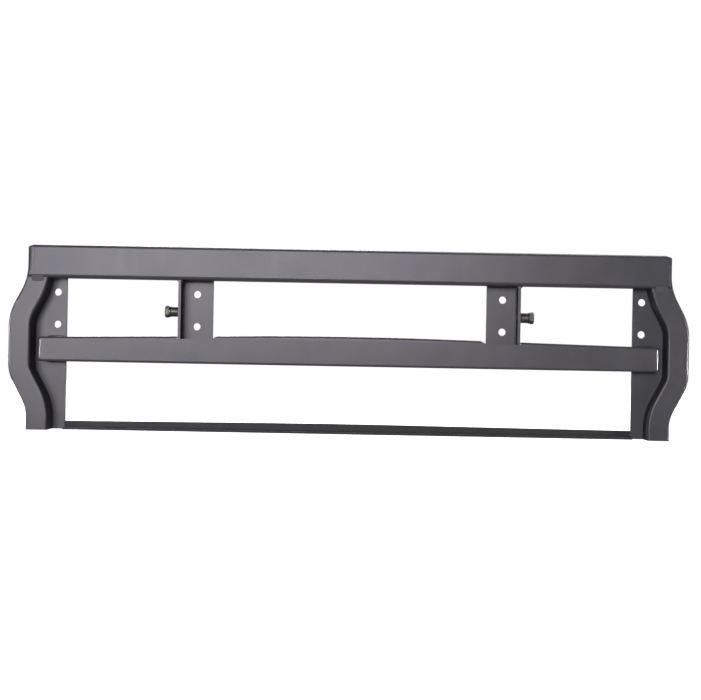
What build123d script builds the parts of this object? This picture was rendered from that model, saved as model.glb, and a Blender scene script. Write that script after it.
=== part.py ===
from build123d import *
from math import cos, radians, sin
import os

# Front grille guard: a welded steel frame that bolts flat against a truck's front.
# Millimetres. X runs to the right as the guard is seen from the front, Y to the rear, Z up.
# The origin is at the middle of the bottom of the bounding box, and everything behind the
# guard bolts to the rear plane at the largest Y.

# Overall sizes
overall_width = 1250.0  # from bulge to bulge of the side members
overall_height = 340.0
bulge = 34.0  # how far a side member stands out past its foot and the end of the top rail

# Top rail: a rectangular tube with a pressed cap in each end
rail_height = 60.0
rail_depth = 45.0
rail_wall = 3.0
rail_corner = 6.0  # outside corner radius of the tube
cap_length = 12.0
cap_drop = 5.0  # how far the cap's top slopes down towards its end
cap_end_radius = 8.0  # upright edges of the cap's end
cap_wall = 3.0

# Flat plates in the rear plane, drilled for the mounting bolts
plate_thickness = 5.0
plate_top_gap = 10.0  # from a plate's top edge to the top of the rail in front of it
side_plate_foot = 63.0  # width of a side plate at its foot, to its straight inner edge
side_bolt_margin = 17.0  # from a side plate's inner edge to its holes
bolt_hole = 13.5  # clearance for M12
bolt_pitch = 60.0  # between the two holes of a plate
bolt_drop = 25.0  # from the underside of the top rail to the upper hole

# Side members: a curved box of front flange, outer web and inner web on the side plate
side_face_width = 40.0
side_wall = 5.0
side_set_back = 3.0  # front flange behind the front of the top rail
side_edge_radius = 4.5  # ground edges of the front flange
bend_angle = 28.0  # slope of the face between the two bends of each S
lower_bend_z = 72.0  # middle height of the lower S
lower_bend_radius = 72.0  # outer face
upper_bend_drop = 34.0  # from the underside of the top rail to the middle of the upper S
upper_bend_radius = 100.0

# Middle rail: a folded pan, open to the rear, with rounded ends and a crowned top
pan_end_gap = 12.5  # to the inner web of the side member
pan_bottom_z = 126.0
pan_end_height = 45.0
pan_crown = 10.0  # extra height at the middle
pan_crown_arc = 300.0  # length of the rounded middle of the crown, between its straight slopes
pan_depth = 40.0
pan_wall = 3.0
pan_end_radius = 8.0
pan_edge_radius = 4.5
notch_floor = 0.4  # floor of the bracket notch above the height of the pan's ends
notch_rise = 6.0  # height over which the notch's ends slope out of the pan
notch_inner_relief = 14.0
notch_outer_relief = 5.0

# Bottom bar: an angle between the inner edges of the side plates
bar_end_height = 15.0
bar_crown = 3.0
bar_crown_arc = 300.0
bar_leg = 25.0  # front to back, over the upright leg
bar_leg_thickness = 4.0

# Centre brackets: angles with a drilled plate and a flange that comes forward
bracket_width = 60.0
bracket_outer_x = 315.0
bracket_flange = 5.0
bracket_bend = 1.5  # inside radius of the fold
bracket_corner_cut = 3.0  # clears the fold inside the middle rail

# Pegs on the outside of the bracket flanges: an M12 bolt in a tapped boss
peg_below_midway = 4.0  # midway is between the middle rail's end and the top rail
boss_diameter = 18.5
boss_length = 15.5
bolt_diameter = 12.0
bolt_clearance = 0.1  # all round the shank
bolt_head_flats = 19.0
bolt_head_height = 8.0
bolt_head_chamfer = 1.2
spring_washer_outer = 20.0
spring_washer_thickness = 2.5
spring_washer_split = 2.0

# Welds
weld_leg = 4.0
weld_inset = 2.0  # from the end of an edge to the end of the weld along it
small_weld_leg = 2.5
head_weld_length = 22.0  # where the side flange is blended into the rail near its outer end
head_weld_height = 7.0  # down the front of the side flange
weld_land = 0.5  # left square at the foot of the peg's weld
bead_height = 1.2

# Sizes and places worked out from the sizes above
overall_depth = rail_depth + plate_thickness
rail_length = overall_width - 2 * bulge
side_plate_inner_x = rail_length / 2 - side_plate_foot
side_bolt_x = side_plate_inner_x + side_bolt_margin
pan_length = overall_width - 2 * (side_face_width + pan_end_gap)
rear_y = overall_depth / 2
plate_y = rear_y - plate_thickness  # front face of the rear plates
rail_y = plate_y - rail_depth / 2
rail_front_y = plate_y - rail_depth
rail_bottom_z = overall_height - rail_height
rail_z = overall_height - rail_height / 2
side_front_y = rail_front_y + side_set_back
plate_top_z = overall_height - plate_top_gap
pan_front_y = plate_y - pan_depth
pan_end_top_z = pan_bottom_z + pan_end_height
notch_z = pan_end_top_z + notch_floor
bolt_middle_z = rail_bottom_z - bolt_drop - bolt_pitch / 2
upper_bend_z = rail_bottom_z - upper_bend_drop
bracket_inner_x = bracket_outer_x - bracket_width
bracket_front_y = pan_front_y + pan_wall
peg_y = (bracket_front_y + plate_y) / 2
peg_z = (rail_bottom_z + pan_end_top_z) / 2 - peg_below_midway
washer_x = bracket_outer_x + boss_length
bolt_head_x = washer_x + spring_washer_thickness


def facing_front(y):
    """A sketch plane across the guard at depth y; extruding from it goes forwards."""
    return Plane.XZ.offset(-y)


def s_half_height(radius):
    """Half the height of one S of the side member, between its two upright ends."""
    slope = radians(bend_angle)
    straight = (bulge - 2 * radius * (1 - cos(slope))) / sin(slope)
    return radius * sin(slope) + straight * cos(slope) / 2


def side_curve(inset):
    """An edge of the right side member, inset from its outer face, drawn upwards."""
    end_x = rail_length / 2
    bulge_x = overall_width / 2
    lower_half = s_half_height(lower_bend_radius)
    upper_half = s_half_height(upper_bend_radius)
    leaving_centre = (end_x + lower_bend_radius, lower_bend_z - lower_half)
    reaching_centre = (bulge_x - lower_bend_radius, lower_bend_z + lower_half)
    returning_centre = (bulge_x - upper_bend_radius, upper_bend_z - upper_half)
    closing_centre = (end_x + upper_bend_radius, upper_bend_z + upper_half)
    with BuildLine() as curve:
        leaving = CenterArc(leaving_centre, lower_bend_radius + inset, 180, -bend_angle)
        reaching = CenterArc(reaching_centre, lower_bend_radius - inset, -bend_angle, bend_angle)
        returning = CenterArc(returning_centre, upper_bend_radius - inset, 0, bend_angle)
        closing = CenterArc(
            closing_centre, upper_bend_radius + inset, 180 + bend_angle, -bend_angle
        )
        Line((end_x - inset, 0), leaving @ 0)
        Line(leaving @ 1, reaching @ 0)
        Line(reaching @ 1, returning @ 0)
        Line(returning @ 1, closing @ 0)
        Line(closing @ 1, (end_x - inset, overall_height))
    return curve.line


def side_strip(inset, top):
    """The strip from the side member's outer face inwards, from the foot up to a height."""
    end_x = rail_length / 2
    with BuildSketch() as strip:
        with BuildLine():
            add(side_curve(0))
            add(side_curve(inset))
            Line((end_x, 0), (end_x - inset, 0))
            Line((end_x, overall_height), (end_x - inset, overall_height))
        make_face()
        with Locations((overall_width / 2, top / 2)):
            Rectangle(overall_width, top, mode=Mode.INTERSECT)
    return strip.sketch


def side_panel(inner_x, bottom, top):
    """The outline from the side member's outer face in to a straight edge, between two heights."""
    end_x = rail_length / 2
    with BuildSketch() as panel:
        with BuildLine():
            add(side_curve(0))
            Polyline((end_x, 0), (inner_x, 0), (inner_x, overall_height), (end_x, overall_height))
        make_face()
        with Locations((overall_width / 2, (bottom + top) / 2)):
            Rectangle(overall_width, top - bottom, mode=Mode.INTERSECT)
    return panel.sketch


def crowned_outline(length, bottom, end_height, crown, arc_length):
    """A bar seen from the front: straight below, with a crown of two slopes and an arc above."""
    half = length / 2
    arc_half = arc_length / 2
    slope = crown / (half - arc_half / 2)
    top = bottom + end_height
    arc_top = top + slope * (half - arc_half)
    with BuildSketch() as outline:
        with BuildLine():
            Polyline((-arc_half, arc_top), (-half, top), (-half, bottom), (half, bottom))
            Polyline((half, bottom), (half, top), (arc_half, arc_top))
            ThreePointArc((arc_half, arc_top), (0, top + crown), (-arc_half, arc_top))
        make_face()
    return outline.sketch


def tube_section(inset):
    """The top rail's outside, seen from its end, inset by a wall."""
    with BuildSketch() as section:
        with Locations((rail_y, rail_z)):
            RectangleRounded(
                rail_depth - 2 * inset, rail_height - 2 * inset, rail_corner - inset
            )
    return section.sketch


def top_rail():
    """A rounded rectangular tube between the two caps."""
    tube_length = rail_length - 2 * cap_length
    with BuildPart() as rail:
        with BuildSketch(Plane.YZ.offset(-tube_length / 2)):
            add(tube_section(0))
            add(tube_section(rail_wall), mode=Mode.SUBTRACT)
        extrude(amount=tube_length)
    return rail


def top_rail_cap():
    """The tube's section with a sloping top and a rounded end, hollow towards the tube."""
    end_x = rail_length / 2
    joint_x = end_x - cap_length
    with BuildPart() as cap:
        with BuildSketch(facing_front(plate_y)):
            add(side_panel(joint_x, rail_bottom_z, overall_height))
            with BuildLine():
                Polyline(
                    (joint_x, overall_height),
                    (end_x, overall_height - cap_drop),
                    (end_x, overall_height),
                    close=True,
                )
            make_face(mode=Mode.SUBTRACT)
        extrude(amount=rail_depth)
        ends = cap.faces().sort_by(Axis.Y)
        front_and_back = ends[0].edges() + ends[-1].edges()
        fillet([edge for edge in front_and_back if edge.center().X > end_x - 1], cap_end_radius)
        with BuildSketch(Plane.YZ.offset(joint_x)):
            add(tube_section(0))
        extrude(amount=overall_width / 2 - joint_x, mode=Mode.INTERSECT)
        with BuildSketch(Plane.YZ.offset(joint_x)):
            with Locations((rail_y, rail_z - cap_drop / 2)):
                Rectangle(
                    rail_depth - 2 * cap_end_radius, rail_height - 2 * cap_wall - 2 * cap_drop
                )
        extrude(amount=cap_length - cap_wall, mode=Mode.SUBTRACT)
    return cap


def side_front_flange():
    """The curved face of a side member, cut from plate, with its long edges ground round."""
    with BuildPart() as flange:
        with BuildSketch(facing_front(side_front_y + side_wall)):
            add(side_strip(side_face_width, rail_bottom_z))
        extrude(amount=side_wall)
        front_edges = flange.faces().sort_by(Axis.Y)[0].edges()
        fillet(front_edges - front_edges.filter_by(Axis.X), side_edge_radius)
    return flange


def side_web(inset):
    """A bent strip between the front flange and the side plate, inset from the outer face."""
    with BuildPart() as web:
        with BuildSketch(facing_front(plate_y)):
            add(side_strip(inset + side_wall, rail_bottom_z))
            if inset > 0:
                add(side_strip(inset, rail_bottom_z), mode=Mode.SUBTRACT)
        extrude(amount=plate_y - side_front_y - side_wall)
    return web


def bolt_holes(x):
    """The two mounting holes of a plate, one above the other."""
    with BuildSketch() as holes:
        with Locations((x, bolt_middle_z)):
            with GridLocations(0, bolt_pitch, 1, 2):
                Circle(bolt_hole / 2)
    return holes.sketch


def side_back_plate():
    """The drilled plate behind a side member, from its outer face to a straight inner edge."""
    with BuildPart() as plate:
        with BuildSketch(facing_front(rear_y)):
            add(side_panel(side_plate_inner_x, 0, plate_top_z))
            add(bolt_holes(side_bolt_x), mode=Mode.SUBTRACT)
        extrude(amount=plate_thickness)
    return plate


def middle_rail():
    """A folded pan with rounded ends, notched where the bracket flanges pass through its top."""
    with BuildPart() as pan:
        with BuildSketch(facing_front(plate_y)):
            add(
                crowned_outline(
                    pan_length, pan_bottom_z, pan_end_height, pan_crown, pan_crown_arc
                )
            )
        extrude(amount=pan_depth)
        fillet(pan.edges().filter_by(Axis.Z).group_by(Axis.Y)[0], pan_end_radius)
        fillet(pan.faces().sort_by(Axis.Y)[0].edges(), pan_edge_radius)
        offset(amount=-pan_wall, openings=pan.faces().sort_by(Axis.Y)[-1])
        for side in (-1, 1):
            with BuildSketch(facing_front(plate_y)):
                with BuildLine():
                    Polyline(
                        (side * (bracket_inner_x - notch_inner_relief), notch_z + notch_rise),
                        (side * bracket_inner_x, notch_z),
                        (side * bracket_outer_x, notch_z),
                        (side * (bracket_outer_x + notch_outer_relief), notch_z + notch_rise),
                        close=True,
                    )
                make_face()
            extrude(amount=pan_depth, mode=Mode.SUBTRACT)
    return pan


def bottom_bar():
    """An angle with its upright leg in the rear plane and its other leg forward at the foot."""
    length = 2 * side_plate_inner_x
    with BuildPart() as bar:
        with BuildSketch(facing_front(rear_y)):
            add(crowned_outline(length, 0, bar_end_height, bar_crown, bar_crown_arc))
        extrude(amount=plate_thickness)
        with BuildSketch(facing_front(rear_y)):
            with Locations((0, bar_leg_thickness / 2)):
                Rectangle(length, bar_leg_thickness)
        extrude(amount=bar_leg)
    return bar


def centre_bracket():
    """A drilled plate in the rear plane, folded forwards at its outer edge."""
    flange_x = bracket_outer_x - bracket_flange
    flange_bottom_z = pan_bottom_z + pan_wall
    with BuildPart() as bracket:
        with BuildSketch(facing_front(rear_y)):
            with Locations((bracket_outer_x, pan_bottom_z)):
                Rectangle(
                    bracket_width, plate_top_z - pan_bottom_z, align=(Align.MAX, Align.MIN)
                )
            add(bolt_holes((bracket_inner_x + bracket_outer_x) / 2), mode=Mode.SUBTRACT)
        extrude(amount=plate_thickness)
        with BuildSketch(Plane.XY.offset(flange_bottom_z)):
            with Locations((flange_x, bracket_front_y)):
                Rectangle(
                    bracket_flange, plate_y - bracket_front_y, align=(Align.MIN, Align.MIN)
                )
            with BuildLine():
                bend_front = (flange_x, plate_y - bracket_bend)
                bend_side = (flange_x - bracket_bend, plate_y)
                inner_bend = RadiusArc(bend_front, bend_side, bracket_bend)
                Polyline(inner_bend @ 1, (flange_x, plate_y), inner_bend @ 0)
            make_face()
        extrude(amount=rail_bottom_z - flange_bottom_z)
        front_edges = bracket.edges().filter_by(Axis.X).group_by(Axis.Y)[0]
        chamfer(front_edges.sort_by(Axis.Z)[0], bracket_corner_cut)
        with BuildSketch(Plane.YZ.offset(flange_x)):
            with Locations((peg_y, peg_z)):
                Circle(bolt_diameter / 2 + bolt_clearance)
        extrude(amount=bracket_flange, mode=Mode.SUBTRACT)
    return bracket


def peg_boss():
    """A tapped boss on the outside of a bracket flange."""
    with BuildPart() as boss:
        with BuildSketch(Plane.YZ.offset(bracket_outer_x)):
            with Locations((peg_y, peg_z)):
                Circle(boss_diameter / 2)
                Circle(bolt_diameter / 2 + bolt_clearance, mode=Mode.SUBTRACT)
        extrude(amount=boss_length)
    return boss


def peg_spring_washer():
    """A split ring between the boss and the bolt's head."""
    with BuildPart() as washer:
        with BuildSketch(Plane.YZ.offset(washer_x)):
            with Locations((peg_y, peg_z)):
                Circle(spring_washer_outer / 2)
                Circle(bolt_diameter / 2 + bolt_clearance, mode=Mode.SUBTRACT)
                Rectangle(
                    spring_washer_split,
                    spring_washer_outer,
                    align=(Align.CENTER, Align.MIN),
                    mode=Mode.SUBTRACT,
                )
        extrude(amount=spring_washer_thickness)
    return washer


def peg_bolt():
    """A hexagon bolt through the washer and the boss, ending flush inside the bracket."""
    shank_x = bracket_outer_x - bracket_flange
    with BuildPart() as bolt:
        with BuildSketch(Plane.YZ.offset(shank_x)):
            with Locations((peg_y, peg_z)):
                Circle(bolt_diameter / 2)
        extrude(amount=bolt_head_x - shank_x)
        with BuildSketch(Plane.YZ.offset(bolt_head_x)):
            with Locations((peg_y, peg_z)):
                RegularPolygon(bolt_head_flats / 2, 6, major_radius=False)
        extrude(amount=bolt_head_height)
        chamfer(bolt.faces().sort_by(Axis.X)[-1].edges(), bolt_head_chamfer)
    return bolt


def weld_along_x(x, points, length):
    """A straight weld from x outwards, from its section's (y, z) points."""
    with BuildPart() as weld:
        with BuildSketch(Plane.YZ.offset(x)):
            with BuildLine():
                Polyline(*points, close=True)
            make_face()
        extrude(amount=length)
    return weld.part


def pan_weld(pan):
    """Fillets that hold an end of the middle rail to the side plate, above and below it."""
    start_x = side_plate_inner_x + weld_inset
    length = pan_length / 2 - pan_end_radius - weld_inset - start_x
    above = [
        (plate_y, pan_end_top_z),
        (plate_y, pan_end_top_z + weld_leg),
        (plate_y - weld_leg, pan_end_top_z),
    ]
    below = [
        (plate_y, pan_bottom_z),
        (plate_y, pan_bottom_z - weld_leg),
        (plate_y - weld_leg, pan_bottom_z),
    ]
    with BuildPart() as weld:
        add(weld_along_x(start_x, above, length))
        add(pan.part, mode=Mode.SUBTRACT)
        add(weld_along_x(start_x, below, length))
    return weld


def bracket_weld(tube):
    """Fillets that hold a bracket's plate and flange to the underside of the top rail."""
    flange_x = bracket_outer_x - bracket_flange
    flat_rear_y = plate_y - rail_corner
    plate_seam = [
        (plate_y, rail_bottom_z - weld_leg),
        (plate_y, rail_bottom_z + rail_corner),
        (flat_rear_y - weld_leg, rail_bottom_z),
    ]
    plate_start_x = bracket_inner_x + weld_inset
    plate_seam_length = flange_x - bracket_bend - weld_inset - plate_start_x
    seam_front_y = bracket_front_y + weld_inset
    with BuildPart() as weld:
        add(weld_along_x(plate_start_x, plate_seam, plate_seam_length))
        add(tube.part, mode=Mode.SUBTRACT)
        with BuildSketch(facing_front(flat_rear_y - weld_leg)):
            for face_x, outwards in ((bracket_outer_x, 1), (flange_x, -1)):
                with BuildLine():
                    Polyline(
                        (face_x, rail_bottom_z),
                        (face_x + outwards * weld_leg, rail_bottom_z),
                        (face_x, rail_bottom_z - weld_leg),
                        close=True,
                    )
                make_face()
        extrude(amount=flat_rear_y - weld_leg - seam_front_y)
    return weld


def head_weld(tube, cap):
    """The blend from the front of a side flange to the front of the top rail."""
    end_x = rail_length / 2 - cap_end_radius
    section = [
        (side_front_y, rail_bottom_z),
        (side_front_y, rail_bottom_z - head_weld_height),
        (rail_front_y, rail_bottom_z + rail_corner),
        (rail_front_y + rail_corner - rail_wall / 2, rail_bottom_z + rail_wall / 2),
        (rail_front_y + rail_corner, rail_bottom_z),
    ]
    with BuildPart() as weld:
        add(weld_along_x(end_x - head_weld_length, section, head_weld_length))
        add(tube.part, mode=Mode.SUBTRACT)
        add(cap.part, mode=Mode.SUBTRACT)
    return weld


def peg_weld():
    """The fillet round the foot of a peg's boss."""
    radius = boss_diameter / 2
    with BuildPart() as weld:
        with BuildSketch(Plane.YZ.offset(bracket_outer_x)):
            with Locations((peg_y, peg_z)):
                Circle(radius + small_weld_leg)
                Circle(radius, mode=Mode.SUBTRACT)
        extrude(amount=small_weld_leg)
        outer_edge = weld.faces().sort_by(Axis.X)[-1].edges().sort_by(SortBy.RADIUS)[-1]
        chamfer(outer_edge, small_weld_leg - weld_land)
    return weld


def bar_weld():
    """The bead across the joint of the bottom bar's upright leg and the side plate."""
    with BuildPart() as weld:
        with BuildSketch(Plane.XY.offset(bar_leg_thickness)):
            with BuildLine():
                Polyline(
                    (side_plate_inner_x - small_weld_leg, plate_y),
                    (side_plate_inner_x, plate_y - bead_height),
                    (side_plate_inner_x + small_weld_leg, plate_y),
                    close=True,
                )
            make_face()
        extrude(amount=bar_end_height - bar_leg_thickness)
    return weld


def write(name, piece):
    """Write one piece to its own file."""
    piece.part.label = name
    export_step(piece.part, f"parts/{name}.step")


def write_pair(name, right):
    """Write a right-hand piece, and its mirror image for the left."""
    with BuildPart() as left:
        mirror(right.part, about=Plane.YZ)
    write(f"{name}_right", right)
    write(f"{name}_left", left)


os.makedirs("parts", exist_ok=True)
tube = top_rail()
cap = top_rail_cap()
pan = middle_rail()
write("top_rail", tube)
write("middle_rail", pan)
write("bottom_bar", bottom_bar())
write_pair("top_rail_cap", cap)
write_pair("side_front_flange", side_front_flange())
write_pair("side_outer_web", side_web(0))
write_pair("side_inner_web", side_web(side_face_width - side_wall))
write_pair("side_back_plate", side_back_plate())
write_pair("centre_bracket", centre_bracket())
write_pair("peg_boss", peg_boss())
write_pair("peg_spring_washer", peg_spring_washer())
write_pair("peg_bolt", peg_bolt())
write_pair("side_head_weld", head_weld(tube, cap))
write_pair("middle_rail_weld", pan_weld(pan))
write_pair("bracket_weld", bracket_weld(tube))
write_pair("peg_weld", peg_weld())
write_pair("bottom_bar_weld", bar_weld())
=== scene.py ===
import math

import bmesh
import bpy
from bpy.props import FloatProperty, FloatVectorProperty, IntProperty, PointerProperty
from mathutils import Euler, Matrix, Vector


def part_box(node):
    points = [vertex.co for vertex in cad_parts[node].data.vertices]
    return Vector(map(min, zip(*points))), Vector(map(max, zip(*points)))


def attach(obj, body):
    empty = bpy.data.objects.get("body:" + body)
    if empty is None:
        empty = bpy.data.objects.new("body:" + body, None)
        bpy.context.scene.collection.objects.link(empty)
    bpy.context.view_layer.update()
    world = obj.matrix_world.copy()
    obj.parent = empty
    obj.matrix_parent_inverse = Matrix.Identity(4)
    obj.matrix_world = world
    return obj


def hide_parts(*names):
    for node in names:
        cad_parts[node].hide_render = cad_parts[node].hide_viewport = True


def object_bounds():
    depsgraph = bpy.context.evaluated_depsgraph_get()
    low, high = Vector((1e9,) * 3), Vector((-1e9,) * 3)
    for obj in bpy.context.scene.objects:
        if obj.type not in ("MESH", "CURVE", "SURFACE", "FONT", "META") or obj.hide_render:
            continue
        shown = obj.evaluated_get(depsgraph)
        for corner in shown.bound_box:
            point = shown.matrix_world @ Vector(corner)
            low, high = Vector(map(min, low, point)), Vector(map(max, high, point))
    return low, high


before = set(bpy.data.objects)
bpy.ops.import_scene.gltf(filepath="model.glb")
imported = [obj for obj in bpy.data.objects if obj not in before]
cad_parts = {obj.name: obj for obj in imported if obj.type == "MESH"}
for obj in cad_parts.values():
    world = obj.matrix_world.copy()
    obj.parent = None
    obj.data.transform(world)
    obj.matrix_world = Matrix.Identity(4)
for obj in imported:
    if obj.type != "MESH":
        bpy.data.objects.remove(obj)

bl_info = {
    "name": "Grille Guard Finishes",
    "version": (1, 0, 0),
    "blender": (4, 5, 0),
    "location": "View3D > Sidebar > Grille Guard",
    "description": "Paint, weld beads, fasteners and studio for a front grille guard",
    "category": "Object",
}

CAD_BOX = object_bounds()
BODY = "root"
SIDES = {"left": -1, "right": 1}
SHARP = math.radians(35)
ANY_TURN = math.radians(0.5)  # flatter than this, two neighbouring faces are one
SAME_POINT = 1e-6
THREAD_DEPTH = 0.6134  # of the pitch, as on a metric screw
THREAD_ROWS = 8  # rings of points in each turn of a thread
THREAD_START = 10  # rings over which a thread rises at the tip
ROUND_STEPS = 96  # points round a bolt
HEAD_INSET = 0.00002  # keeps a hexagon inside its box
ROUND_FACE = 0.95  # of a hexagon's flats, the round faces of a bolt's head
FOLD_CLEAR = 0.006  # from a bracket's fold to the end of the weld on its plate
FULL_BEAD = 1.05  # of a fillet's leg, the radius of a proud bead
LEAN_BEAD = 0.95
FLOOR_WIDTH = 24.0
FLOOR_GLOW = 0.94
KEY_WIDTH = math.radians(11)
STRIP_SPREAD = math.radians(24)  # keeps the strips on the guard's two ends
REFLECTED_TINT = (1.0, 0.965, 1.045)
PLATES = ["bottom_bar"] + [
    f"{name}_{side}"
    for name in ("side_back_plate", "centre_bracket", "side_inner_web", "side_outer_web")
    for side in SIDES
]
SHEETS = ["middle_rail", "top_rail"] + [
    f"{name}_{side}" for name in ("top_rail_cap", "side_front_flange") for side in SIDES
]


# ---- Settings -----------------------------------------------------------------------------


class GuardPaintSettings(bpy.types.PropertyGroup):
    """The satin paint on the frame."""

    colour: FloatVectorProperty(
        name="Paint colour",
        description="Main colour of the satin paint",
        subtype="COLOR", size=3, min=0, max=1,
        default=(0.098, 0.094, 0.104),
    )
    tint: FloatVectorProperty(
        name="Cool tint",
        description="Colour of the cooler patches in the paint",
        subtype="COLOR", size=3, min=0, max=1,
        default=(0.094, 0.090, 0.116),
    )
    roughness: FloatProperty(
        name="Roughness",
        description="How matt the paint is where it is clean",
        subtype="FACTOR", min=0, max=1,
        default=0.36,
    )
    orange_peel: FloatProperty(
        name="Orange peel",
        description="Height of the fine waviness of the sprayed film",
        unit="LENGTH", min=0,
        default=0.00004,
    )
    patch_size: FloatProperty(
        name="Patch size",
        description="Width of the soft patches of tint",
        unit="LENGTH", min=0.01,
        default=0.16,
    )


class GuardEdgeSettings(bpy.types.PropertyGroup):
    """How cut edges are broken."""

    plate_break: FloatProperty(
        name="Plate edge break",
        description="Width of the rounded edge on cut plates",
        unit="LENGTH", min=0,
        default=0.0009,
    )
    sheet_break: FloatProperty(
        name="Sheet edge break",
        description="Width of the rounded edge on folded sheet",
        unit="LENGTH", min=0,
        default=0.0005,
    )
    steps: IntProperty(
        name="Steps",
        description="Faces across each rounded edge",
        min=1,
        default=2,
    )


class GuardWeldSettings(bpy.types.PropertyGroup):
    """The rippled beads of the visible welds."""

    pitch: FloatProperty(
        name="Ripple pitch",
        description="From one ripple of a bead to the next",
        unit="LENGTH", min=0.0002,
        default=0.0016,
    )
    lean: FloatProperty(
        name="Ripple lean",
        description="How far each ripple leans back along the bead",
        subtype="ANGLE",
        default=math.radians(28),
    )
    unevenness: FloatProperty(
        name="Unevenness",
        description="Spread of the ripples' sizes",
        subtype="FACTOR", min=0, max=1,
        default=0.09,
    )
    seed: IntProperty(
        name="Seed",
        description="Start of the random sizes",
        default=7,
    )


class GuardPegSettings(bpy.types.PropertyGroup):
    """The pegs' bolts."""

    chamfer: FloatProperty(
        name="Head chamfer",
        description="Slope of the turned chamfer on a hexagon head",
        subtype="ANGLE",
        default=math.radians(28),
    )
    washer_face: FloatProperty(
        name="Washer face",
        description="Thickness of the round face under a hexagon head",
        unit="LENGTH", min=0,
        default=0.0006,
    )
    thread_pitch: FloatProperty(
        name="Thread pitch",
        description="From one turn of the thread to the next",
        unit="LENGTH", min=0.0005,
        default=0.00175,
    )


class GuardStudioSettings(bpy.types.PropertyGroup):
    """Camera and lights."""

    distance: FloatProperty(
        name="Camera distance",
        description="From the camera to the front of the guard",
        unit="LENGTH", min=0.1,
        default=2.300,
    )
    height: FloatProperty(
        name="Camera height",
        description="Above the floor that the guard stands on",
        unit="LENGTH",
        default=0.1575,
    )
    sideways: FloatProperty(
        name="Camera sideways",
        description="To the right of the guard's middle",
        unit="LENGTH",
        default=0.050,
    )
    shift: FloatProperty(
        name="Camera shift",
        description="Sideways shift of the picture, as a share of the sensor's width",
        default=-0.0362,
    )
    lens: FloatProperty(
        name="Lens",
        description="Focal length in millimetres on a 36 mm sensor",
        min=10,
        default=64.5,
    )
    key: FloatProperty(
        name="Key",
        description="Strength of the far light in front",
        min=0,
        default=1.25,
    )
    sheen: FloatProperty(
        name="Sheen",
        description="Power of the softbox that the paint mirrors",
        unit="POWER", min=0,
        default=51.0,
    )
    fill: FloatProperty(
        name="Fill",
        description="Strength of the even light from all round",
        min=0,
        default=0.06,
    )
    bounce: FloatProperty(
        name="Bounce",
        description="Strength of the light from below",
        min=0,
        default=0.30,
    )
    roll: FloatProperty(
        name="Camera roll",
        description="Turn of the camera about its own axis",
        subtype="ANGLE",
        default=math.radians(1.05),
    )


class GuardSettings(bpy.types.PropertyGroup):
    """Everything that a user would change on the grille guard."""

    paint: PointerProperty(type=GuardPaintSettings, name="Paint", description="Satin paint")
    edges: PointerProperty(type=GuardEdgeSettings, name="Edges", description="Broken edges")
    welds: PointerProperty(type=GuardWeldSettings, name="Welds", description="Weld beads")
    pegs: PointerProperty(type=GuardPegSettings, name="Pegs", description="Bolts of the pegs")
    studio: PointerProperty(
        type=GuardStudioSettings, name="Studio", description="Camera and lights"
    )


def settings():
    return bpy.context.scene.grille_guard


# ---- Shader maths -------------------------------------------------------------------------


class Value:
    """A shader socket that Python arithmetic can be written on."""

    def __init__(self, shader, socket):
        self.shader = shader
        self.socket = socket

    def _math(self, operation, *values):
        return self.shader.node("Math", {"operation": operation}, dict(enumerate(values)))

    def __add__(self, other):
        return self._math("ADD", self, other)

    def __radd__(self, other):
        return self._math("ADD", other, self)

    def __sub__(self, other):
        return self._math("SUBTRACT", self, other)

    def __rsub__(self, other):
        return self._math("SUBTRACT", other, self)

    def __mul__(self, other):
        return self._math("MULTIPLY", self, other)

    def __rmul__(self, other):
        return self._math("MULTIPLY", other, self)

    def between(self, low, high):
        """0 below low and 1 above high, with a smooth rise between."""
        return self.shader.node(
            "MapRange",
            {"interpolation_type": "SMOOTHSTEP"},
            {"Value": self, "From Min": low, "From Max": high},
        )


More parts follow.
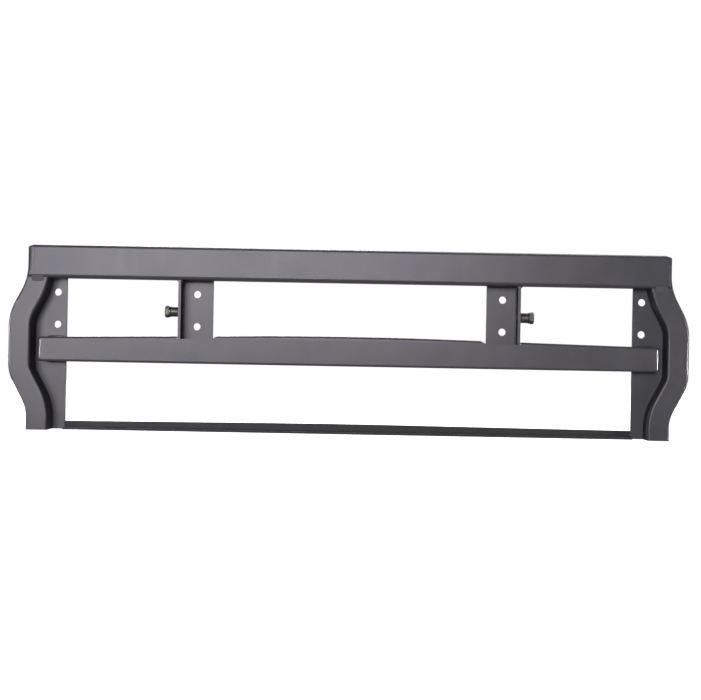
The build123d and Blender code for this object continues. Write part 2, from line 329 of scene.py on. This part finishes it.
class Shader:
    """A material's node tree, with one call that makes any node."""

    def __init__(self, name):
        self.material = bpy.data.materials.new(name)
        self.material.use_nodes = True
        self.tree = self.material.node_tree
        self.tree.nodes.clear()
        self.output = self.tree.nodes.new("ShaderNodeOutputMaterial")

    def node(self, kind, options, inputs, output=0):
        """Make a node, set its options first, then its sockets, and return one output."""
        made = self.tree.nodes.new("ShaderNode" + kind)
        for key, value in options.items():
            setattr(made, key, value)
        for key, value in inputs.items():
            if isinstance(value, Value):
                self.tree.links.new(value.socket, made.inputs[key])
            else:
                made.inputs[key].default_value = value
        return Value(self, made.outputs[output])

    def place(self):
        """The point on the piece, in the guard's own frame."""
        return self.node("TexCoord", {}, {}, "Object")

    def axes(self, vector):
        """The three numbers of a vector."""
        split = self.tree.nodes.new("ShaderNodeSeparateXYZ")
        self.tree.links.new(vector.socket, split.inputs[0])
        return [Value(self, socket) for socket in split.outputs]

    def join(self, *parts):
        """A vector from three numbers."""
        return self.node("CombineXYZ", {}, dict(enumerate(parts)))

    def spots(self, vector, size):
        """Small sparse dots, about one in a cube of that size."""
        inputs = {"Vector": vector, "Scale": 1 / size}
        near = self.node("TexVoronoi", {}, inputs, "Distance")
        return 1.0 - near.between(0.03, 0.09)

    def noise(self, vector, size, detail=2.0, roughness=0.5):
        """Soft noise with features of about that size in metres."""
        inputs = {"Vector": vector, "Scale": 1 / size, "Detail": detail, "Roughness": roughness}
        return self.node("TexNoise", {}, inputs, "Fac")

    def mix(self, factor, first, second):
        """A colour between two colours."""
        values = {0: factor, 6: first, 7: second}
        for key in (6, 7):
            if not isinstance(values[key], Value):
                values[key] = (*values[key], 1)
        return self.node("Mix", {"data_type": "RGBA"}, values, 2)

    def bump(self, height, depth, below=None):
        """A normal raised by a height from 0 to 1, times a depth in metres."""
        inputs = {"Height": height, "Distance": depth, "Strength": 1.0}
        if below is not None:
            inputs["Normal"] = below
        return self.node("Bump", {}, inputs)

    def finish(self, **inputs):
        """Close the material with one Principled shader."""
        named = {key.replace("_", " "): value for key, value in inputs.items()}
        surface = self.node("BsdfPrincipled", {}, named)
        self.tree.links.new(surface.socket, self.output.inputs[0])
        return self.material


# ---- Materials ----------------------------------------------------------------------------

# Sizes and heights of the paint's marks, in metres
CLOUD_SIZE = 0.035
STREAK_SIZE = 0.35
DUST_SIZE = 0.004
NIB_SPACING = 0.009
NIB_HEIGHT = 0.00012
PEEL_SIZE = 0.0022
WAVE_SIZE = 0.06
WAVE_HEIGHT = 0.0006
DUST_COLOUR = (0.19, 0.18, 0.17)
# The sides that face the guard's middle: painted shade in their colour, and more roughness
INWARD_PAINTED_SHADE = 0.25
INWARD_SHADE_COVER = 0.80
INWARD_MATT = 0.40
# The pegs' steel
FILM_SIZE = 0.006
STAIN_SIZE = 0.0035
OILED_STEEL = (0.085, 0.086, 0.072)
DRY_STEEL = (0.130, 0.128, 0.110)
STAIN_COLOUR = (0.075, 0.052, 0.030)


def shade(colour, amount):
    """A colour made darker or lighter."""
    return [channel * amount for channel in colour]


def satin_paint(name, darker=1.0, rough=0.0):
    """Satin grey paint with cool patches, streaks, dust, nibs and orange peel.

    It is rougher on the sides that face the guard's middle, and painted darker there as painted
    shade.
    """
    paint = settings().paint
    shader = Shader(name)
    place = shader.place()
    across, _, up = shader.axes(place)
    faces_across = shader.axes(shader.node("TexCoord", {}, {}, "Normal"))[0]
    side = shader.node("Math", {"operation": "SIGN"}, {0: across})
    # painted shade: a mask of the sides that face the guard's middle, which darkens their colour
    inward_shade_mask = (faces_across * side * -1.0).between(0.55, 0.95)
    patches = shader.noise(place, paint.patch_size, detail=3.0).between(0.42, 0.62)
    cloud = shader.noise(place, CLOUD_SIZE, detail=4.0)
    warm = shade(paint.colour, darker)
    cool = shade(paint.tint, darker)
    base = shader.mix(patches, warm, cool)
    clouded = shader.mix(cloud.between(0.35, 0.75), shade(warm, 0.90), base)
    upright = shader.join(across * 14.0, 0.0, up * 1.6)
    streaks = shader.noise(upright, STREAK_SIZE, detail=3.0).between(0.55, 0.80)
    streaked = shader.mix(streaks * 0.22, clouded, shade(cool, 1.35))
    dust = shader.noise(place, DUST_SIZE, detail=6.0, roughness=0.7).between(0.60, 0.78)
    dusted = shader.mix(dust * 0.22, streaked, DUST_COLOUR)
    nibs = shader.spots(place, NIB_SPACING)
    speckled = shader.mix(nibs * 0.5, dusted, shade(warm, 0.55))
    # painted shade on the sides that face the guard's middle
    colour = shader.mix(inward_shade_mask * INWARD_SHADE_COVER, speckled, shade(warm, INWARD_PAINTED_SHADE))
    peel = shader.noise(place, PEEL_SIZE, detail=2.0)
    wave = shader.noise(place, WAVE_SIZE, detail=1.0)
    normal = shader.bump(wave, WAVE_HEIGHT)
    normal = shader.bump(peel, paint.orange_peel, below=normal)
    normal = shader.bump(nibs, NIB_HEIGHT, below=normal)
    patchy = cloud * 0.10 + dust * 0.18 - streaks * 0.04
    roughness = paint.roughness + rough - 0.06 + patchy + inward_shade_mask * INWARD_MATT
    return shader.finish(
        Base_Color=colour,
        Roughness=roughness,
        Normal=normal,
        Specular_IOR_Level=0.5,
    )


def peg_steel(name):
    """Dull turned steel with an oily film and faint brown stains."""
    shader = Shader(name)
    place = shader.place()
    across, deep, up = shader.axes(place)
    turned = shader.noise(shader.join(across * 60.0, deep * 6.0, up * 6.0), 0.05, detail=3.0)
    film = shader.noise(place, FILM_SIZE, detail=4.0).between(0.38, 0.66)
    stain = shader.noise(place, STAIN_SIZE, detail=5.0, roughness=0.65).between(0.58, 0.74)
    clean = shader.mix(film, OILED_STEEL, DRY_STEEL)
    colour = shader.mix(stain * 0.45, clean, STAIN_COLOUR)
    normal = shader.bump(turned, 0.00005)
    normal = shader.bump(stain, 0.00003, below=normal)
    roughness = 0.36 + film * 0.14 + stain * 0.25 + turned * 0.08
    metallic = 0.85 - stain * 0.55
    return shader.finish(
        Base_Color=colour, Roughness=roughness, Metallic=metallic, Normal=normal
    )


# ---- Building -----------------------------------------------------------------------------


def piece(name, mesh, node, material):
    """A finished piece that stands for one CAD node."""
    thing = bpy.data.objects.new(name, mesh)
    bpy.context.scene.collection.objects.link(thing)
    mesh.materials.clear()
    mesh.materials.append(material)
    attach(thing, BODY)
    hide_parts(node)
    return thing


def evaluated_mesh(thing):
    """The mesh of an object with its modifiers applied; the object is deleted."""
    graph = bpy.context.evaluated_depsgraph_get()
    mesh = bpy.data.meshes.new_from_object(thing.evaluated_get(graph))
    bpy.data.objects.remove(thing)
    return mesh


def mesh_from(bm, name):
    """A smooth-shaded mesh from a bmesh, with normals outwards."""
    bmesh.ops.recalc_face_normals(bm, faces=bm.faces)
    for face in bm.faces:
        face.smooth = True
    for edge in bm.edges:
        edge.smooth = not (edge.is_manifold and edge.calc_face_angle(0) > SHARP)
    mesh = bpy.data.meshes.new(name)
    bm.to_mesh(mesh)
    bm.free()
    return mesh


def broken_mesh(node, width, steps):
    """A copy of a CAD node with whole faces and its sharp edges rounded over."""
    bm = bmesh.new()
    bm.from_mesh(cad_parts[node].data)
    bmesh.ops.remove_doubles(bm, verts=bm.verts, dist=SAME_POINT)
    bmesh.ops.dissolve_limit(bm, angle_limit=ANY_TURN, verts=bm.verts, edges=bm.edges)
    mesh = mesh_from(bm, node)
    work = bpy.data.objects.new(node + "_work", mesh)
    bpy.context.scene.collection.objects.link(work)
    bevel = work.modifiers.new("break", "BEVEL")
    bevel.width = width
    bevel.segments = steps
    bevel.limit_method = "ANGLE"
    bevel.angle_limit = SHARP
    bevel.miter_outer = "MITER_ARC"
    bevel.use_clamp_overlap = True
    flatter = work.modifiers.new("even", "WEIGHTED_NORMAL")
    flatter.keep_sharp = True
    return evaluated_mesh(work)


def bead_tree():
    """A node tree that lays overlapping, leaning ripples along paths."""
    tree = bpy.data.node_groups.new("weld_bead", "GeometryNodeTree")
    inputs = {
        "Paths": "NodeSocketGeometry",
        "Radius": "NodeSocketFloat",
        "Pitch": "NodeSocketFloat",
        "Lean": "NodeSocketFloat",
        "Unevenness": "NodeSocketFloat",
        "Seed": "NodeSocketInt",
        "Material": "NodeSocketMaterial",
    }
    for name, kind in inputs.items():
        tree.interface.new_socket(name, in_out="INPUT", socket_type=kind)
    tree.interface.new_socket("Bead", in_out="OUTPUT", socket_type="NodeSocketGeometry")

    def node(kind, links, **options):
        made = tree.nodes.new(kind)
        for key, value in options.items():
            setattr(made, key, value)
        for key, value in links.items():
            if isinstance(value, bpy.types.NodeSocket):
                tree.links.new(value, made.inputs[key])
            else:
                made.inputs[key].default_value = value
        return made.outputs

    def maths(operation, first, second):
        return node("ShaderNodeMath", {0: first, 1: second}, operation=operation)[0]

    given = node("NodeGroupInput", {})
    curve = node("GeometryNodeMeshToCurve", {"Mesh": given["Paths"]})["Curve"]
    points = node(
        "GeometryNodeResampleCurve", {"Curve": curve, "Length": given["Pitch"]}, mode="LENGTH"
    )["Curve"]
    ball = node("GeometryNodeMeshUVSphere", {"Segments": 20, "Rings": 12, "Radius": 1.0})["Mesh"]
    thickness = maths("MULTIPLY", given["Pitch"], 1.15)
    size = node(
        "ShaderNodeCombineXYZ", {"X": thickness, "Y": given["Radius"], "Z": given["Radius"]}
    )["Vector"]
    flat = node("GeometryNodeTransform", {"Geometry": ball, "Scale": size})["Geometry"]
    lean = node("ShaderNodeCombineXYZ", {"Y": given["Lean"], "Z": given["Lean"]})["Vector"]
    ripple = node("GeometryNodeTransform", {"Geometry": flat, "Rotation": lean})["Geometry"]
    tangent = node("GeometryNodeInputTangent", {})["Tangent"]
    along = node("FunctionNodeAlignRotationToVector", {"Vector": tangent}, axis="X")["Rotation"]
    smallest = maths("SUBTRACT", 1.0, given["Unevenness"])
    uneven = node(
        "FunctionNodeRandomValue", {2: smallest, 3: 1.0, "Seed": given["Seed"]},
        data_type="FLOAT",
    )[1]
    laid = node(
        "GeometryNodeInstanceOnPoints",
        {"Points": points, "Instance": ripple, "Rotation": along, "Scale": uneven},
    )["Instances"]
    real = node("GeometryNodeRealizeInstances", {"Geometry": laid})["Geometry"]
    smooth = node("GeometryNodeSetShadeSmooth", {0: real})[0]
    dressed = node(
        "GeometryNodeSetMaterial", {"Geometry": smooth, "Material": given["Material"]}
    )["Geometry"]
    node("NodeGroupOutput", {"Bead": dressed})
    return tree


def bead_mesh(tree, name, seams, radius, material):
    """One mesh of beads, laid along seams given as lists of points."""
    welds = settings().welds
    points = []
    edges = []
    for seam in seams:
        first = len(points)
        points += seam
        edges += [(first + n, first + n + 1) for n in range(len(seam) - 1)]
    paths = bpy.data.meshes.new(name + "_paths")
    paths.from_pydata(points, edges, [])
    work = bpy.data.objects.new(name + "_work", paths)
    bpy.context.scene.collection.objects.link(work)
    bead = work.modifiers.new("bead", "NODES")
    bead.node_group = tree
    values = {
        "Radius": radius,
        "Pitch": welds.pitch,
        "Lean": welds.lean,
        "Unevenness": welds.unevenness,
        "Seed": welds.seed,
        "Material": material,
    }
    for item in tree.interface.items_tree:
        if item.in_out == "INPUT" and item.name in values:
            bead[item.identifier] = values[item.name]
    return evaluated_mesh(work)


def ring(centre, radius, steps=48):
    """The points of a closed circle about the X axis, meeting where it starts."""
    turns = [2 * math.pi * n / steps for n in range(steps + 1)]
    return [
        (centre[0], centre[1] + radius * math.cos(turn), centre[2] + radius * math.sin(turn))
        for turn in turns
    ]


def rings_mesh(name, rings):
    """A closed skin over rings of points that all have the same count."""
    bm = bmesh.new()
    made = [[bm.verts.new(point) for point in points] for points in rings]
    count = len(made[0])
    for lower, upper in zip(made, made[1:]):
        for n in range(count):
            after = (n + 1) % count
            bm.faces.new((lower[n], lower[after], upper[after], upper[n]))
    bm.faces.new(list(reversed(made[0])))
    bm.faces.new(made[-1])
    return mesh_from(bm, name)


# ---- Operators ----------------------------------------------------------------------------


class GUARD_OT_finish_frame(bpy.types.Operator):
    """Round the cut edges of the frame's plates and sheets and paint every piece"""

    bl_idname = "guard.finish_frame"
    bl_label = "Finish the Frame"

    def execute(self, context):
        edges = settings().edges
        paint = satin_paint("frame_paint")
        # painted shade: the bottom bar gets a much darker, rougher copy of the frame paint
        dark = satin_paint("bar_paint", darker=0.22, rough=0.24)
        for node in PLATES + SHEETS:
            width = edges.plate_break if node in PLATES else edges.sheet_break
            material = dark if node == "bottom_bar" else paint
            piece(node + "_skin", broken_mesh(node, width, edges.steps), node, material)
        # painted light: the head welds get a lighter copy of the paint, which offsets the shade
        # on their down-facing slopes
        head_weld_painted_light = satin_paint("blend_paint", darker=1.25, rough=0.12)
        for node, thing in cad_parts.items():
            if thing.type == "MESH":
                thing.data.materials.clear()
                thing.data.materials.append(head_weld_painted_light if "head_weld" in node else paint)
        return {"FINISHED"}


class GUARD_OT_lay_welds(bpy.types.Operator):
    """Lay rippled beads along the visible seams"""

    bl_idname = "guard.lay_welds"
    bl_label = "Lay the Welds"

    def execute(self, context):
        tree = bead_tree()
        paint = satin_paint("weld_paint", darker=0.92, rough=0.04)
        for side, hand in SIDES.items():
            for name, seams, radius in (
                self.bracket(side, hand), self.pan(side, hand),
                self.peg(side, hand), self.bar(side, hand),
            ):
                node = f"{name}_{side}"
                mesh = bead_mesh(tree, node, seams, radius, paint)
                piece(node + "_bead", mesh, node, paint)
        bpy.data.node_groups.remove(tree)
        return {"FINISHED"}

    def bracket(self, side, hand):
        """Seams of a bracket's plate and of both sides of its flange under the rail."""
        low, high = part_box("bracket_weld_" + side)
        bracket_low, bracket_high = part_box("centre_bracket_" + side)
        rail_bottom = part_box("top_rail")[0][2]
        plate_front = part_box("side_back_plate_" + side)[0][1]
        leg = rail_bottom - low[2]
        inner = self.inner_outer(low, high, hand)[0]
        face = self.inner_outer(bracket_low, bracket_high, hand)[1]
        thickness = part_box("side_back_plate_" + side)[1][1] - plate_front
        other_face = face - hand * thickness
        stop = other_face - hand * FOLD_CLEAR
        radius = leg * FULL_BEAD
        end = radius * 0.9
        seat = (plate_front - 0.25 * leg, rail_bottom + 0.2 * leg)
        plate_seam = [(inner + hand * end, *seat), (stop, *seat)]
        front = low[1] + end
        back = plate_front - 2.2 * leg
        flange_seams = []
        for x, way in ((face, hand), (other_face, -hand)):
            sunk = x - way * 0.1 * leg
            flange_seams.append([(sunk, front, rail_bottom), (sunk, back, rail_bottom)])
        return "bracket_weld", [plate_seam, *flange_seams], radius

    def pan(self, side, hand):
        """Seams above and below an end of the middle rail, on the side plate."""
        low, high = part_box("middle_rail_weld_" + side)
        inner, outer = self.inner_outer(low, high, hand)
        leg = high[1] - low[1]
        radius = leg * LEAN_BEAD
        end = radius * 0.6
        deep = high[1] + 0.1 * leg
        seams = [
            [(inner + hand * end, deep, z), (outer - hand * end, deep, z)]
            for z in (low[2] + 1.05 * leg, high[2] - 1.05 * leg)
        ]
        return "middle_rail_weld", seams, radius

    def peg(self, side, hand):
        """The ring round the foot of a peg's boss."""
        low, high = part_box("peg_weld_" + side)
        inner = self.inner_outer(low, high, hand)[0]
        leg = high[0] - low[0]
        centre = (inner, (low[1] + high[1]) / 2, (low[2] + high[2]) / 2)
        radius = (high[2] - low[2]) / 2 - leg
        return "peg_weld", [ring(centre, radius)], leg * LEAN_BEAD

    def bar(self, side, hand):
        """The upright bead over the joint of the bottom bar and the side plate."""
        low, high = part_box("bottom_bar_weld_" + side)
        radius = (high[0] - low[0]) / 2
        across = (low[0] + high[0]) / 2
        deep = low[1] + radius
        seam = [(across, deep, low[2] + radius * 0.7), (across, deep, high[2] - radius * 0.7)]
        return "bottom_bar_weld", [seam], radius

    def inner_outer(self, low, high, hand):
        """The ends of a box along X, the one nearer the guard's middle first."""
        return (low[0], high[0]) if hand > 0 else (high[0], low[0])


class GUARD_OT_turn_pegs(bpy.types.Operator):
    """Turn the pegs' bolts, bosses and spring washers"""

    bl_idname = "guard.turn_pegs"
    bl_label = "Turn the Pegs"

    def execute(self, context):
        steel = peg_steel("peg_steel")
        for side, hand in SIDES.items():
            self.bolt(side, hand, steel)
            for name, width in (("peg_boss", 0.0007), ("peg_spring_washer", 0.0004)):
                node = f"{name}_{side}"
                piece(node + "_turned", broken_mesh(node, width, 3), node, steel)
        return {"FINISHED"}

    def bolt(self, side, hand, steel):
        """A hexagon bolt: chamfered head with a washer face, and a threaded shank."""
        pegs = settings().pegs
        node = "peg_bolt_" + side
        low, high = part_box(node)
        washer_low, washer_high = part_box("peg_spring_washer_" + side)
        tip = low[0] if hand > 0 else high[0]
        top = high[0] if hand > 0 else low[0]
        seat = washer_high[0] if hand > 0 else washer_low[0]
        middle = ((low[1] + high[1]) / 2, (low[2] + high[2]) / 2)
        flats = min(high[1] - low[1], high[2] - low[2]) / 2
        turned = flats * ROUND_FACE
        shank = self.shank_radius(node, tip, middle)
        steps = ROUND_STEPS
        pitch = pegs.thread_pitch
        core = shank - THREAD_DEPTH * pitch

        def round_ring(x, radius):
            return [self.at(x, middle, radius, n / steps) for n in range(steps)]

        def hexagon_ring(x, slope):
            corner = math.pi / 6
            points = []
            for n in range(steps):
                turn = 2 * math.pi * n / steps
                from_flat = (turn + corner) % (2 * corner) - corner
                radius = flats / math.cos(from_flat) - HEAD_INSET
                drop = max(0.0, radius - turned) * slope
                points.append(self.at(x - hand * drop, middle, radius, n / steps))
            return points

        thread = []
        turns = abs(seat - tip) / pitch
        for row in range(int(turns * THREAD_ROWS)):
            x = tip + hand * (row / THREAD_ROWS) * pitch
            start = min(1.0, row / THREAD_START)
            points = []
            for n in range(steps):
                phase = (row / THREAD_ROWS - n / steps) % 1.0
                height = 1.0 - abs(2 * phase - 1.0)
                radius = core + (shank - core) * height * start
                points.append(self.at(x, middle, radius, n / steps))
            thread.append(points)
        slope = math.tan(pegs.chamfer)
        head = [
            round_ring(seat, core),
            round_ring(seat, turned),
            round_ring(seat + hand * pegs.washer_face, turned),
            hexagon_ring(seat + hand * pegs.washer_face, 0.0),
            hexagon_ring(top, slope),
            round_ring(top, turned),
            round_ring(top, turned * 0.5),
        ]
        mesh = rings_mesh(node, thread + head)
        piece(node + "_turned", mesh, node, steel)

    def shank_radius(self, node, tip, middle):
        """How far the CAD bolt's shank reaches from its axis at its tip."""
        reaches = [
            math.hypot(point.co.y - middle[0], point.co.z - middle[1])
            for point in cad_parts[node].data.vertices
            if abs(point.co.x - tip) < 10 * SAME_POINT
        ]
        return max(reaches)

    def at(self, x, middle, radius, share):
        """The point at a share of a full turn round a bolt."""
        turn = 2 * math.pi * share
        return (x, middle[0] + radius * math.cos(turn), middle[1] + radius * math.sin(turn))


class GUARD_OT_set_studio(bpy.types.Operator):
    """Lay the pale floor, hang the soft lights and place the camera"""

    bl_idname = "guard.set_studio"
    bl_label = "Set the Studio"

    def execute(self, context):
        self.lay_floor()
        self.light_world(context.scene)
        self.hang_lights()
        self.place_camera(context.scene)
        return {"FINISHED"}

    def lay_floor(self):
        """A white floor that the camera sees and the paint doesn't reflect."""
        mesh = bpy.data.meshes.new("floor")
        half = FLOOR_WIDTH / 2
        corners = [(-half, -half, 0), (half, -half, 0), (half, half, 0), (-half, half, 0)]
        mesh.from_pydata(corners, [], [(0, 1, 2, 3)])
        floor = bpy.data.objects.new("floor", mesh)
        bpy.context.scene.collection.objects.link(floor)
        shader = Shader("floor_paper")
        grain = shader.noise(shader.place(), 0.01)
        colour = shader.mix(grain, (0.84, 0.84, 0.84), (0.88, 0.88, 0.88))
        mesh.materials.append(shader.finish(
            Base_Color=colour, Roughness=0.95, Emission_Color=(1.0, 1.0, 1.0, 1.0),
            Emission_Strength=FLOOR_GLOW,
        ))
        floor.visible_diffuse = False
        floor.visible_glossy = False

    def light_world(self, scene):
        """White to the camera; to the guard, faint from above and stronger from below."""
        world = bpy.data.worlds.new("studio")
        scene.world = world
        world.use_nodes = True
        nodes = world.node_tree.nodes
        links = world.node_tree.links
        nodes.clear()
        output = nodes.new("ShaderNodeOutputWorld")
        seen = nodes.new("ShaderNodeBackground")
        lit = nodes.new("ShaderNodeBackground")
        blend = nodes.new("ShaderNodeMixShader")
        path = nodes.new("ShaderNodeLightPath")
        way = nodes.new("ShaderNodeTexCoord")
        split = nodes.new("ShaderNodeSeparateXYZ")
        rise = nodes.new("ShaderNodeMapRange")
        rise.interpolation_type = "SMOOTHSTEP"
        for key, value in {"From Min": 0.1, "From Max": -0.5}.items():
            rise.inputs[key].default_value = value
        rise.inputs["To Min"].default_value = settings().studio.fill
        rise.inputs["To Max"].default_value = settings().studio.bounce
        seen.inputs[0].default_value = (1, 1, 1, 1)
        seen.inputs[1].default_value = 1.0
        lit.inputs[0].default_value = (0.96, 0.97, 1, 1)
        links.new(way.outputs["Generated"], split.inputs[0])
        links.new(split.outputs["Z"], rise.inputs["Value"])
        links.new(rise.outputs["Result"], lit.inputs[1])
        links.new(path.outputs["Is Camera Ray"], blend.inputs[0])
        links.new(lit.outputs[0], blend.inputs[1])
        links.new(seen.outputs[0], blend.inputs[2])
        links.new(blend.outputs[0], output.inputs[0])

    def hang_lights(self):
        """A key, reflections across the front and its two ends, and light from behind."""
        studio = settings().studio
        target = Vector((0, 0, 0.17))
        far = lamp("far_key", "SUN", (-0.45, -8.0, 1.15), target, studio.key)
        far.data.angle = KEY_WIDTH
        far.visible_glossy = False  # lights the paint but isn't reflected in it
        sheen = lamp(
            "sheen_softbox", "AREA", (-0.40, -2.75, 0.74), target, studio.sheen, (1.9, 1.0)
        )
        low_sheen = lamp("low_sheen", "AREA", (-1.30, -2.4, 0.22), target, 9.0, (0.8, 0.6))
        left_end = Vector((-0.57, -0.02, 0.165))
        right_end = Vector((0.57, -0.02, 0.150))
        left = lamp("left_strip", "AREA", (-1.38, -0.66, 0.17), left_end, 0.22, (0.20, 0.07))
        right = lamp("right_strip", "AREA", (1.38, -0.62, 0.15), right_end, 0.34, (0.26, 0.07))
        for strip in (left, right):
            strip.data.spread = STRIP_SPREAD
        for light in (sheen, low_sheen, left, right):
            light.data.color = REFLECTED_TINT
            light.visible_diffuse = False  # seen only as a reflection in the paint
        lamp("rear_softbox", "AREA", (-0.9, 2.8, 1.5), target, 130.0, (2.2, 1.4))
        lamp("top_softbox", "AREA", (0.3, 0.9, 2.6), target, 45.0, (1.8, 1.2))

    def place_camera(self, scene):
        """A level camera in front of the guard, turned a little about its own axis."""
        studio = settings().studio
        front = CAD_BOX[0][1]
        camera = bpy.data.objects.new("camera", bpy.data.cameras.new("camera"))
        scene.collection.objects.link(camera)
        camera.data.lens = studio.lens
        camera.data.sensor_width = 36
        camera.data.shift_x = studio.shift
        camera.data.clip_start = 0.05
        camera.data.clip_end = 60
        place = Matrix.Translation((studio.sideways, front - studio.distance, studio.height))
        level = Euler((math.radians(90), 0, 0)).to_matrix().to_4x4()
        camera.matrix_world = place @ level @ Matrix.Rotation(studio.roll, 4, "Z")
        scene.camera = camera
        scene.view_settings.view_transform = "Standard"


def lamp(name, kind, place, target, power, size=None):
    """A lamp aimed at a point and hidden from the camera."""
    light = bpy.data.lights.new(name, kind)
    light.energy = power
    if size is not None:
        light.shape = "RECTANGLE"
        light.size, light.size_y = size
    thing = bpy.data.objects.new(name, light)
    bpy.context.scene.collection.objects.link(thing)
    place = Vector(place)
    turn = (target - place).to_track_quat("-Z", "Y").to_matrix().to_4x4()
    thing.matrix_world = Matrix.Translation(place) @ turn
    thing.visible_camera = False
    return thing


class GUARD_PT_panel(bpy.types.Panel):
    """The grille guard's settings and steps."""

    bl_label = "Grille Guard"
    bl_idname = "GUARD_PT_panel"
    bl_space_type = "VIEW_3D"
    bl_region_type = "UI"
    bl_category = "Grille Guard"

    def draw(self, context):
        guard = context.scene.grille_guard
        for group in (guard.paint, guard.edges, guard.welds, guard.pegs, guard.studio):
            box = self.layout.box()
            for key in group.__annotations__:
                box.prop(group, key)
        for step in STEPS:
            self.layout.operator(step.bl_idname)


STEPS = (
    GUARD_OT_finish_frame,
    GUARD_OT_lay_welds,
    GUARD_OT_turn_pegs,
    GUARD_OT_set_studio,
)
CLASSES = (
    GuardPaintSettings,
    GuardEdgeSettings,
    GuardWeldSettings,
    GuardPegSettings,
    GuardStudioSettings,
    GuardSettings,
    *STEPS,
    GUARD_PT_panel,
)


def register():
    for item in CLASSES:
        bpy.utils.register_class(item)
    bpy.types.Scene.grille_guard = PointerProperty(type=GuardSettings)


def unregister():
    del bpy.types.Scene.grille_guard
    for item in reversed(CLASSES):
        bpy.utils.unregister_class(item)


def main():
    register()
    bpy.ops.guard.finish_frame()
    bpy.ops.guard.lay_welds()
    bpy.ops.guard.turn_pegs()
    bpy.ops.guard.set_studio()


if __name__ == "__main__":
    main()
